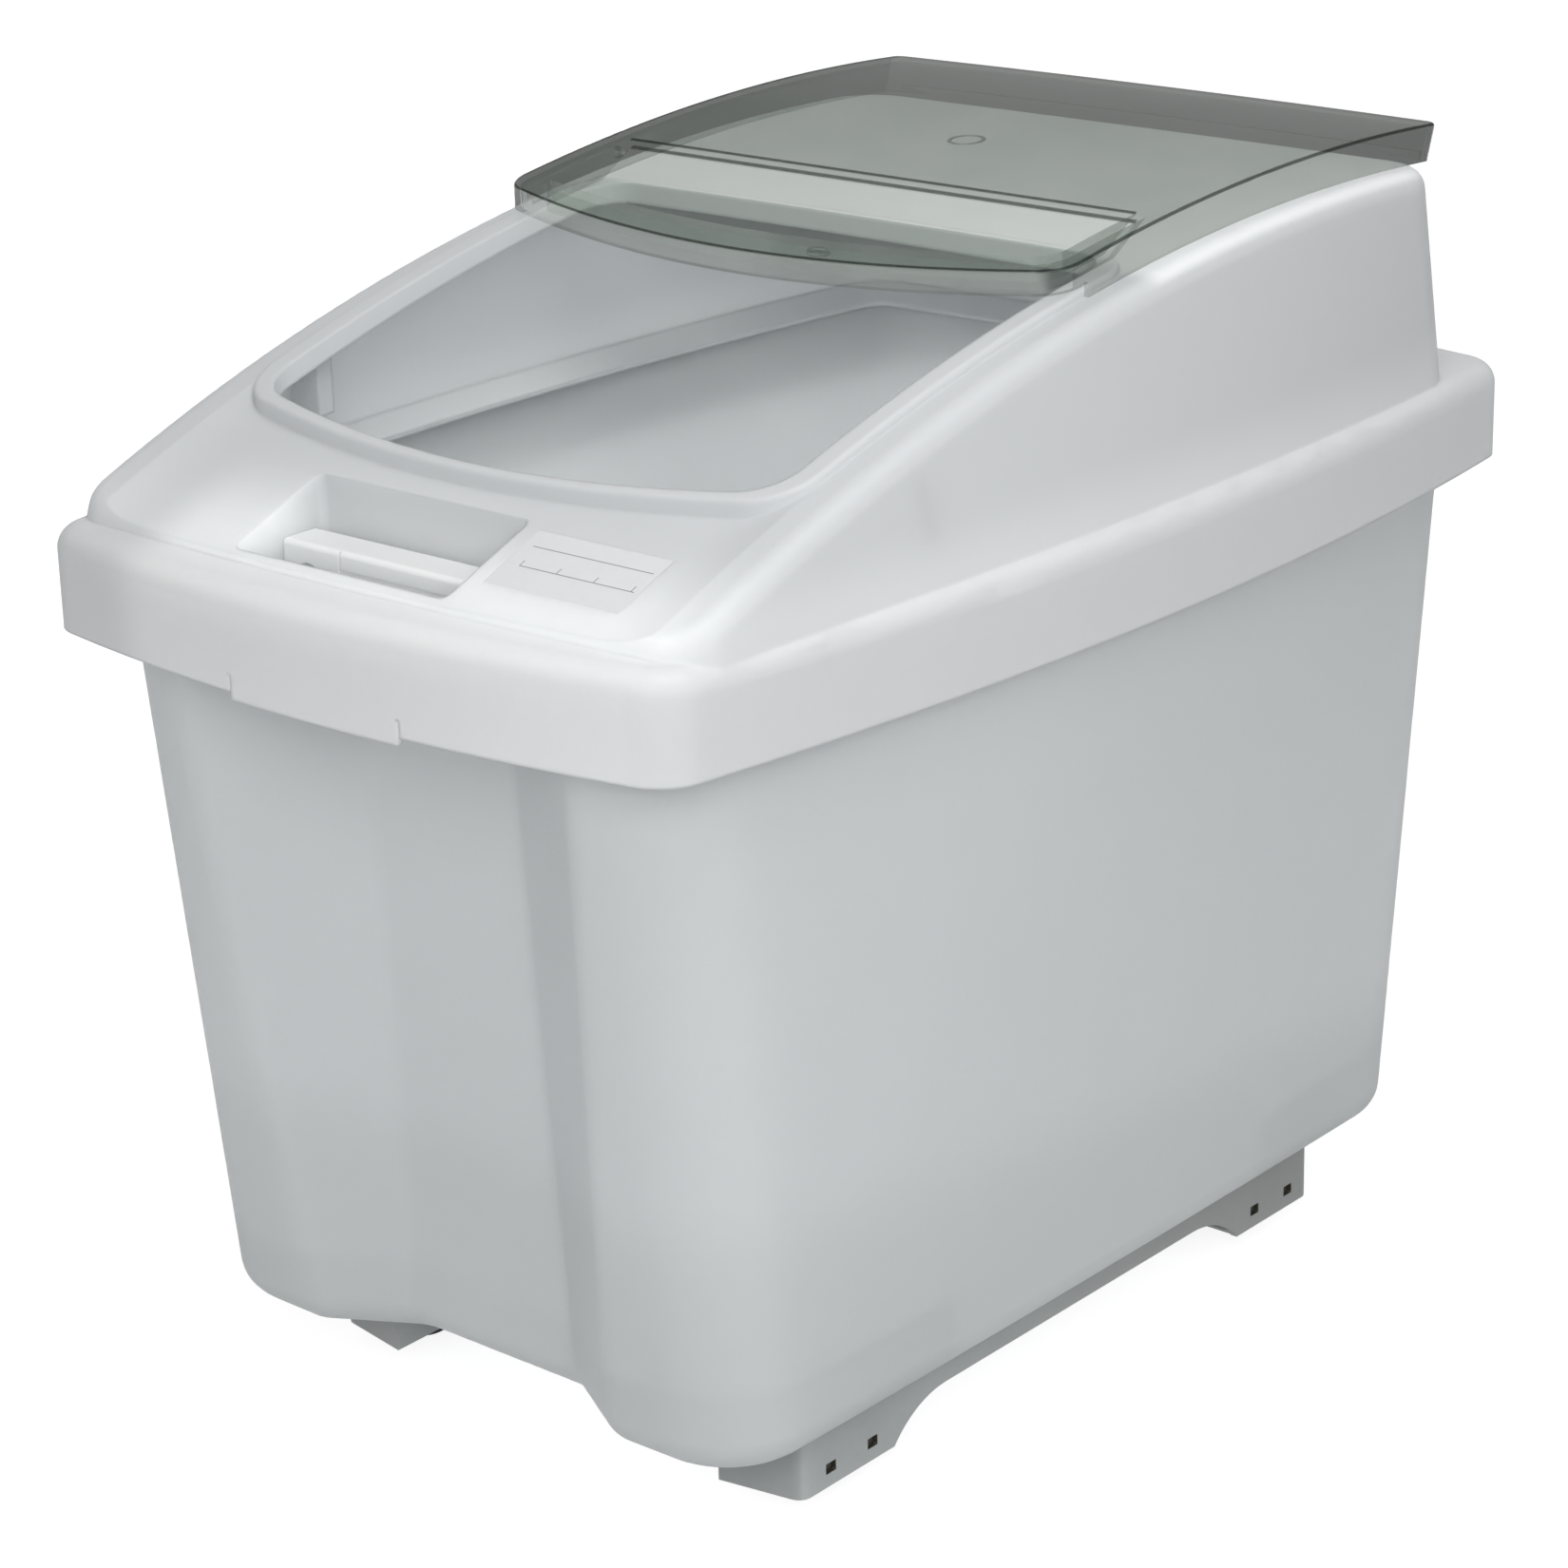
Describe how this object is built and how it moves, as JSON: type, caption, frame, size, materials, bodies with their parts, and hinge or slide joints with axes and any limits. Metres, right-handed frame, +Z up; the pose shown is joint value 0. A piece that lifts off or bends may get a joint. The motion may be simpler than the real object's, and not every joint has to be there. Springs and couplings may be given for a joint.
{
  "type": "rolling ingredient bin",
  "caption": "Rolling ingredient bin: tapered translucent tub on wheeled rails, lift-off hood with a pouring opening, curved sliding clear lid, scoop pocket and scoop.",
  "frame": {"origin": "on the floor, midway between the hood's two sides and midway between its front and back", "axes": "+Z up, -Y towards the front with the hand recess and the scoop pocket, +X to the right as seen from behind the pushing hands at the back"},
  "size_m": [0.481, 0.754, 0.6461],
  "materials": {
    "tub": "satin translucent white",
    "hood": "satin white",
    "lid": "clear, faint grey tint",
    "scoop": "satin white",
    "label": "matt film with ruled lines",
    "rail": "satin pale grey",
    "plate": "matt grey",
    "wheel": "matt black",
    "tyre": "matt black",
    "steel": "turned steel"
  },
  "bodies": {
    "tub": {"tub": "tub", "left_rail": "rail", "right_rail": "rail", "rail_screws": "steel", "bearing_plate_front_left_outer": "plate", "bearing_plate_front_left_inner": "plate", "bearing_plate_front_right_outer": "plate", "bearing_plate_front_right_inner": "plate", "bearing_plate_rear_left_outer": "plate", "bearing_plate_rear_left_inner": "plate", "bearing_plate_rear_right_outer": "plate", "bearing_plate_rear_right_inner": "plate", "axle_front_left": "steel", "axle_front_right": "steel", "axle_rear_left": "steel", "axle_rear_right": "steel"},
    "hood": {"hood": "hood", "write_on_label": "label"},
    "lid": {"sliding_lid": "lid"},
    "scoop": {"scoop": "scoop"},
    "wheel_front_left": {"wheel_front_left": "wheel", "tyre_front_left": "tyre"},
    "wheel_front_right": {"wheel_front_right": "wheel", "tyre_front_right": "tyre"},
    "wheel_rear_left": {"wheel_rear_left": "wheel", "tyre_rear_left": "tyre"},
    "wheel_rear_right": {"wheel_rear_right": "wheel", "tyre_rear_right": "tyre"}
  },
  "joints": [
    {"name": "hood_lift", "type": "slide", "parent": "tub", "child": "hood", "axis": [0, 0, 1], "range_m": [0, 0.15]},
    {"name": "lid_slide", "type": "hinge", "parent": "hood", "child": "lid", "pos_m": [0, 0.215, -0.8047], "axis": [1, 0, 0], "range_deg": [0, 8.6]},
    {"name": "scoop_lift", "type": "slide", "parent": "hood", "child": "scoop", "axis": [0, 0, 1], "range_m": [0, 0.09]},
    {"name": "wheel_front_left_spin", "type": "hinge", "parent": "tub", "child": "wheel_front_left", "pos_m": [-0.1395, -0.1859, 0.035], "axis": [1, 0, 0], "continuous": true},
    {"name": "wheel_front_right_spin", "type": "hinge", "parent": "tub", "child": "wheel_front_right", "pos_m": [0.1395, -0.1859, 0.035], "axis": [1, 0, 0], "continuous": true},
    {"name": "wheel_rear_left_spin", "type": "hinge", "parent": "tub", "child": "wheel_rear_left", "pos_m": [-0.1395, 0.1995, 0.035], "axis": [1, 0, 0], "continuous": true},
    {"name": "wheel_rear_right_spin", "type": "hinge", "parent": "tub", "child": "wheel_rear_right", "pos_m": [0.1395, 0.1995, 0.035], "axis": [1, 0, 0], "continuous": true}
  ]
}
